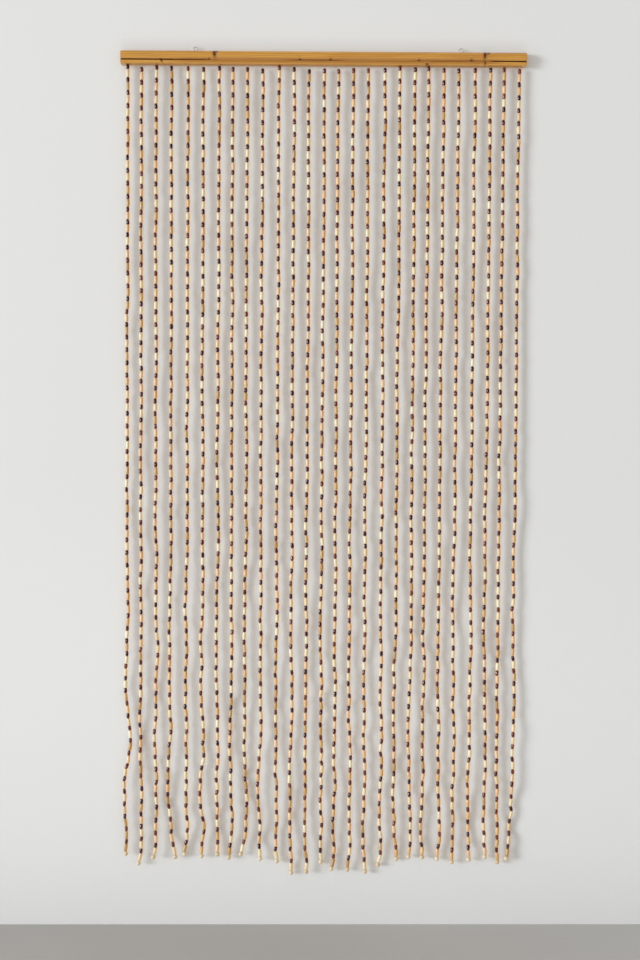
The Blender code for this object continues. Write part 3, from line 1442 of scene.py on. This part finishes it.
    def build(self) -> None:
        """Builds every strand."""
        cotton = self.cotton.material()
        lacquer = self.lacquer.material()
        tube_wood = self.tube_wood.material()
        ball_wood = self.ball_wood.material()
        threads = self.build_threads(cotton)
        for route, joints, thread in zip(self.routes, self.joints, threads):
            brown, tubes = self.build_beads(route, joints)
            place_piece(brown, [lacquer], Slot.BEADS, Node.STRANDS)
            place_piece(tubes, [tube_wood], Slot.BEADS, Node.STRANDS)
            end = self.build_end(route, joints)
            place_piece(end, [ball_wood, cotton], Slot.BEADS, Node.STRANDS)
            route.exit()
            route.length()

    def build_heading(self) -> None:
        """Makes the cord in the rail's channel and the knots that tie the strands to it."""
        rng = np.random.default_rng(self.heading_seed)
        cotton = self.cotton.material()
        first = self.routes[0]
        middle = Vector((0.0, -first.depth, first.underside + self.heading_rise))
        reach = (len(STRANDS) - 1) / 2 * first.pitch + self.heading_overhang
        line = []
        for step in range(self.heading_steps + 1):
            x = -reach + 2 * reach * step / self.heading_steps
            y = self.heading_waver * math.sin(self.heading_waves * step)
            line.append(middle + Vector((x, y, 0.0)))
        heading = wire_curve("heading_cord", line, self.heading_diameter, self.heading_sides)
        place_piece(heading, [cotton], Slot.THREAD, Node.STRANDS)
        batch = MeshBatch()
        for route in self.routes:
            spot = route.exit() + Vector((0.0, 0.0, self.heading_knot_rise))
            self.knot.tie(batch, spot, rng.uniform(0, math.tau))
        knots = batch.build("heading_knots", self.knot.sharp_over)
        place_piece(knots, [cotton], Slot.THREAD, Node.STRANDS)


# --------------------------------------------------------------------------- the rail


@dataclass
class Moulding:
    """The pine rail: a round upper band, a groove and a lower lip, flat at the back."""

    length: float = 900 * MM
    height: float = 30 * MM
    depth: float = 22 * MM
    band_radius: float = 11.5 * MM
    band_end: float = 222
    lower_depth: float = 20 * MM
    lip_radius: float = 5 * MM
    groove_middle: float = -5.9 * MM
    groove_bottom: float = -7.7 * MM
    groove_shallow: float = 19.0 * MM
    groove_deep: float = 15.6 * MM
    groove_half_width: float = 0.9 * MM
    channel_width: float = 3.8 * MM
    channel_depth: float = 3.8 * MM
    channel_middle: float = 11 * MM
    channel_reach: float = 439 * MM
    hole_width: float = 2.4 * MM
    hole_depth: float = 9 * MM
    hole_middle: float = 5 * MM
    hole_sides: int = 24
    arc_step: float = 5
    station_step: float = 6 * MM
    edge_round: float = 0.45 * MM
    edge_steps: int = 3
    edge_over: float = 60
    shade_height: float = 0.15 * MM
    shade_depth: float = 0.1 * MM
    sharp_over: float = 32
    # How open the groove is along the rail, which sets its depth and how dark its painted shade
    # is.
    opening: Outline = (
        (-450, 1.0), (-350, 0.95), (-330, 0.62), (-262, 0.50), (-245, 0.12), (-95, 0.14),
        (-60, 0.38), (30, 0.40), (60, 0.15), (180, 0.12), (215, 0.3), (330, 0.34),
        (362, 0.2), (384, 0.85), (450, 1.0),
    )
    finish: VarnishedPine = VarnishedPine()

    def openness(self, x: float) -> float:
        """Returns how open the groove is at a place along the rail, from 0 to 1."""
        places = [place * MM for place, _ in self.opening]
        return float(np.interp(x, places, [share for _, share in self.opening]))

    def arc(self, centre: Pair, radius: float, start: float, end: float) -> list[Pair]:
        """Works out an arc of the section.

        Args:
            centre: its middle, as y and z.
            radius: its radius.
            start: its first angle, in degrees.
            end: its last angle.

        Returns:
            Its points, as y and z.
        """
        steps = max(1, round(abs(end - start) / self.arc_step))
        turns = [math.radians(start + (end - start) * i / steps) for i in range(steps + 1)]
        return [
            (centre[0] + radius * math.cos(t), centre[1] + radius * math.sin(t)) for t in turns
        ]

    def section(self, x: float) -> list[Pair]:
        """Works out the outline at a place along the rail.

        Args:
            x: the place.

        Returns:
            The outline's points, as y and z.
        """
        top, bottom = self.height / 2, -self.height / 2
        upper = (self.band_radius - self.depth, top - self.band_radius)
        lip = (self.lip_radius - self.lower_depth, bottom + self.lip_radius)
        share = self.openness(x)
        floor = self.groove_shallow + (self.groove_deep - self.groove_shallow) * share
        back = [(0.0, bottom), (0.0, bottom / 3), (0.0, top / 3), (0.0, top)]
        groove = [
            (-floor, self.groove_middle + self.groove_half_width),
            (-floor, self.groove_middle - self.groove_half_width),
            (-self.lower_depth, self.groove_bottom),
        ]
        band = self.arc(upper, self.band_radius, 90, self.band_end)
        return back + band + groove + self.arc(lip, self.lip_radius, 180, 270)

    def blank(self) -> bpy.types.Object:
        """Makes the moulded length with closed ends, before any cut.

        Returns:
            The blank, not yet in the scene.
        """
        count = round(self.length / self.station_step) + 1
        stations = np.linspace(-self.length / 2, self.length / 2, count)
        rings = [[(x, y, z) for y, z in self.section(x)] for x in stations]
        around = len(rings[0])
        faces = [tuple(face) for face in ring_faces(len(rings), around, closed=False).tolist()]
        faces.append(tuple(range(around)))
        faces.append(tuple(reversed(range((len(rings) - 1) * around, len(rings) * around))))
        blank = new_mesh_object("rail_blank", np.array(rings).reshape(-1, 3), faces)
        shape = bmesh.new()
        shape.from_mesh(blank.data)
        bmesh.ops.recalc_face_normals(shape, faces=shape.faces)
        shape.to_mesh(blank.data)
        shape.free()
        return blank

    def cutters(self) -> list[bpy.types.Object]:
        """Makes the shapes that cut the heading's channel and the screw eyes' holes.

        Returns:
            The shapes, not yet in the scene.
        """
        made = []
        channel = bmesh.new()
        bmesh.ops.create_cube(channel, size=1.0)
        size = (2 * self.channel_reach, self.channel_width, 2 * self.channel_depth)
        bmesh.ops.scale(channel, vec=size, verts=channel.verts)
        shift = (0, -self.channel_middle, -self.height / 2)
        bmesh.ops.translate(channel, vec=shift, verts=channel.verts)
        shapes = [channel]
        for place in EYE_PLACES.values():
            hole = bmesh.new()
            bmesh.ops.create_cone(
                hole,
                cap_ends=True,
                segments=self.hole_sides,
                radius1=self.hole_width / 2,
                radius2=self.hole_width / 2,
                depth=2 * self.hole_depth,
            )
            shift = (place, -self.hole_middle, self.height / 2)
            bmesh.ops.translate(hole, vec=shift, verts=hole.verts)
            shapes.append(hole)
        for shape in shapes:
            mesh = bpy.data.meshes.new("rail_cutter")
            shape.to_mesh(mesh)
            shape.free()
            made.append(bpy.data.objects.new("rail_cutter", mesh))
        return made

    def mark_groove_shade(self, mesh: bpy.types.Mesh) -> None:
        """Stores how much painted shade each point of the groove takes, as much as the groove is
        open there.

        Args:
            mesh: the rail's mesh.
        """
        shades = np.zeros(len(mesh.vertices))
        for vertex in mesh.vertices:
            x, y, z = vertex.co
            near = abs(z - self.groove_middle) < self.groove_half_width + self.shade_height
            if near and y < self.shade_depth - self.groove_deep:
                shades[vertex.index] = self.openness(x)
        write_tag(mesh, Tag.GROOVE, shades)

    def build(self) -> None:
        """Cuts and rounds the moulding, and dresses it."""
        blank = self.blank()
        scene = bpy.context.scene.collection.objects
        scene.link(blank)
        rounded = blank.modifiers.new("edge_round", "BEVEL")
        rounded.width = self.edge_round
        rounded.segments = self.edge_steps
        rounded.limit_method = "ANGLE"
        rounded.angle_limit = math.radians(self.edge_over)
        cutters = self.cutters()
        for cutter in cutters:
            scene.link(cutter)
            cut = blank.modifiers.new("cut", "BOOLEAN")
            cut.operation = "DIFFERENCE"
            cut.object = cutter
        rail = evaluated_mesh(blank, "pine_rail")
        for cutter in cutters:
            bpy.data.objects.remove(cutter, do_unlink=True)
        smooth(rail.data, self.sharp_over)
        self.mark_groove_shade(rail.data)
        place_piece(rail, [self.finish.material()], Slot.PINE, Node.RAIL)


@dataclass
class ScrewEye:
    """A screw eye: a wire bent into a ring over its shank."""

    node: Node
    wire: float = 1.3 * MM
    wire_sides: int = 12
    ring_radius: float = 4.3 * MM
    above_rail: float = 0.5 * MM
    from_wall: float = 5 * MM
    rail_top: float = 15 * MM
    shank: float = 8 * MM
    neck_turn: float = 14
    open_angle: float = 40
    ring_steps: int = 40
    point_shares: Pair = (0.15, 0.9)
    end_share: float = 0.6
    weld: float = 0.01 * MM
    sharp_over: float = 50

    def line(self) -> list[Vector]:
        """Works out the wire's line, from the shank's point to the ring's open end.

        Returns:
            Its points, in a frame on the shank's line at the rail's middle height.
        """
        middle = self.rail_top + self.above_rail + self.wire / 2 + self.ring_radius
        line = [
            Vector((0, 0, self.rail_top - self.shank)),
            Vector((0, 0, self.rail_top - self.shank / 2)),
            Vector((0, 0, self.rail_top)),
        ]
        start, end = self.neck_turn - 90, 270 - self.open_angle
        for step in range(self.ring_steps + 1):
            turn = math.radians(start + (end - start) * step / self.ring_steps)
            out, up = math.cos(turn), math.sin(turn)
            line.append(Vector((self.ring_radius * out, 0, self.ring_radius * up + middle)))
        return line

    def build(self, steel: bpy.types.Material) -> None:
        """Bends the wire and sets it in the rail's top edge.

        Args:
            steel: the plated wire's material.
        """
        spot = Vector((EYE_PLACES[self.node], -self.from_wall, 0))
        line = [spot + point for point in self.line()]
        curve = wire_curve(self.node.value + "_wire", line, self.wire, self.wire_sides)
        points = curve.data.splines[0].points
        for point, share in zip(points, self.point_shares):
            point.radius = share
        points[-1].radius = self.end_share
        bpy.context.scene.collection.objects.link(curve)
        eye = evaluated_mesh(curve, self.node.value + "_eye")
        shape = bmesh.new()
        shape.from_mesh(eye.data)
        bmesh.ops.remove_doubles(shape, verts=shape.verts, dist=self.weld)
        shape.to_mesh(eye.data)
        shape.free()
        smooth(eye.data, self.sharp_over)
        place_piece(eye, [steel], Slot.STEEL, self.node)


# --------------------------------------------------------------------------- the studio


class Sun(NamedTuple):
    """A far light: the way its light travels, its strength and how many degrees wide it looks."""

    name: str
    towards: Triple
    strength: float
    width: float
    colour: Colour = (1.0, 1.0, 1.0)


class LightPanel(NamedTuple):
    """A flat light: its middle, the way it shines, its width and height, and its watts.

    mirrored says whether it shows in glossy surfaces.
    """

    name: str
    place: Triple
    towards: Triple
    size: Pair
    power: float
    mirrored: bool = True


@dataclass
class Studio:
    """The camera, the light, a pale backdrop behind the curtain and a pale floor."""

    camera_place: Triple = (-0.0018, -3.0, -0.8296)
    pitch_down: float = 2.04
    roll: float = 0.372
    lens: float = 49.98
    sensor_width: float = 36
    far_limit: float = 60
    floor_height: float = -1.950
    floor_fall: float = 0.0068
    backdrop_gap: float = 0.8 * MM
    reach: float = 7.0
    backdrop_top: float = 3.5
    floor_front: float = 1.0
    surround_colour: Colour = (1.0, 0.973, 0.925)
    surround_strength: float = 0.58
    suns: tuple[Sun, ...] = (
        Sun("key", (0.89, 0.46, -0.06), 1.75, 18, (0.88, 0.945, 1.0)),
        Sun("back_fill", (-0.25, -0.9, -0.35), 0.4, 40),
        Sun("floor_bounce", (0.0, 0.5, 0.85), 0.3, 30, (1.0, 0.95, 0.88)),
    )
    panels: tuple[LightPanel, ...] = (
        LightPanel("window", (-3.2, -2.0, -0.5), (3.0, 2.0, 0.0), (1.4, 4.4), 26),
        LightPanel("low_fill", (0.0, -1.0, -1.8), (0.0, 0.95, 0.3), (3.0, 0.4), 3.5, False),
    )
    wall: StagePaint = StagePaint(
        "backdrop_paint", (0.813, 0.813, 0.808), (0.788, 0.788, 0.783), 1.2, 0.7, True
    )
    floor: StagePaint = StagePaint(
        "floor_paint", (0.455, 0.445, 0.43), (0.405, 0.395, 0.38), 2.5, 0.45
    )

    def build_camera(self) -> None:
        """Sets the camera up in front of the curtain, a little above its middle."""
        data = bpy.data.cameras.new("camera")
        data.lens = self.lens
        data.sensor_width = self.sensor_width
        data.clip_end = self.far_limit
        camera = bpy.data.objects.new("camera", data)
        turn = Matrix.Rotation(math.radians(90 - self.pitch_down), 4, "X")
        turn = turn @ Matrix.Rotation(math.radians(self.roll), 4, "Z")
        camera.matrix_world = Matrix.Translation(self.camera_place) @ turn
        bpy.context.scene.collection.objects.link(camera)
        bpy.context.scene.camera = camera

    def sheet(self, name: str, corners: list[Triple], paint: StagePaint) -> bpy.types.Object:
        """Adds a flat sheet of the stage.

        Args:
            name: its name.
            corners: its four corners, seen from its front in turn.
            paint: its finish.

        Returns:
            The sheet.
        """
        made = new_mesh_object(name, np.array(corners), [(0, 1, 2, 3)])
        made.data.materials.append(paint.material())
        bpy.context.scene.collection.objects.link(made)
        return made

    def build_stage(self) -> None:
        """Lays the floor and stands the backdrop, which blocks no light from behind."""
        side, back, top = self.reach, self.backdrop_gap, self.backdrop_top
        fall = self.floor_fall * side
        left, right, front = self.floor_height - fall, self.floor_height + fall, -self.floor_front
        backdrop = self.sheet(
            "backdrop",
            [(-side, back, left), (side, back, left), (side, back, top), (-side, back, top)],
            self.wall,
        )
        backdrop.visible_shadow = False
        self.sheet(
            "floor",
            [(-side, front, left), (side, front, right), (side, side, right), (-side, side, left)],
            self.floor,
        )

    def hang_light(self, data: bpy.types.Light, towards: Triple) -> bpy.types.Object:
        """Puts a light in the scene.

        Args:
            data: the light's settings.
            towards: the direction in which its light travels.

        Returns:
            The light's object.
        """
        light = bpy.data.objects.new(data.name, data)
        light.rotation_mode = "QUATERNION"
        light.rotation_quaternion = Vector(towards).to_track_quat("-Z", "Y")
        bpy.context.scene.collection.objects.link(light)
        return light

    def add_sun(self, sun: Sun) -> None:
        """Adds a far, soft light.

        Args:
            sun: what it is.
        """
        data = bpy.data.lights.new(sun.name, "SUN")
        data.energy = sun.strength
        data.angle = math.radians(sun.width)
        data.color = sun.colour
        self.hang_light(data, sun.towards)

    def add_panel(self, panel: LightPanel) -> None:
        """Adds a flat light.

        Args:
            panel: what it is.
        """
        data = bpy.data.lights.new(panel.name, "AREA")
        data.shape = "RECTANGLE"
        data.size, data.size_y = panel.size
        data.energy = panel.power
        light = self.hang_light(data, panel.towards)
        light.location = panel.place
        light.visible_glossy = panel.mirrored

    def surround(self) -> bpy.types.World:
        """Sets up an even pale surround that lights the scene but isn't mirrored in it.

        Returns:
            The surround.
        """
        world = bpy.data.worlds.new("surround")
        world.use_nodes = True
        background = world.node_tree.nodes["Background"]
        background.inputs["Color"].default_value = (*self.surround_colour, 1.0)
        background.inputs["Strength"].default_value = self.surround_strength
        world.cycles_visibility.glossy = False
        return world

    def build_light(self) -> None:
        """Adds broad light from the left, weak light from behind and below, and a surround."""
        for sun in self.suns:
            self.add_sun(sun)
        for panel in self.panels:
            self.add_panel(panel)
        bpy.context.scene.world = self.surround()
        bpy.context.scene.view_settings.view_transform = "Standard"


def main() -> None:
    """Builds the studio, then the curtain from its threads outwards."""
    logging.basicConfig(level=logging.INFO, format="%(message)s")
    studio = Studio()
    studio.build_camera()
    strands = BeadStrands()
    strands.build()
    strands.build_heading()
    Moulding().build()
    steel = ZincSteel().material()
    for node in EYE_PLACES:
        ScrewEye(node).build(steel)
    studio.build_stage()
    studio.build_light()


if __name__ == "__main__":
    main()
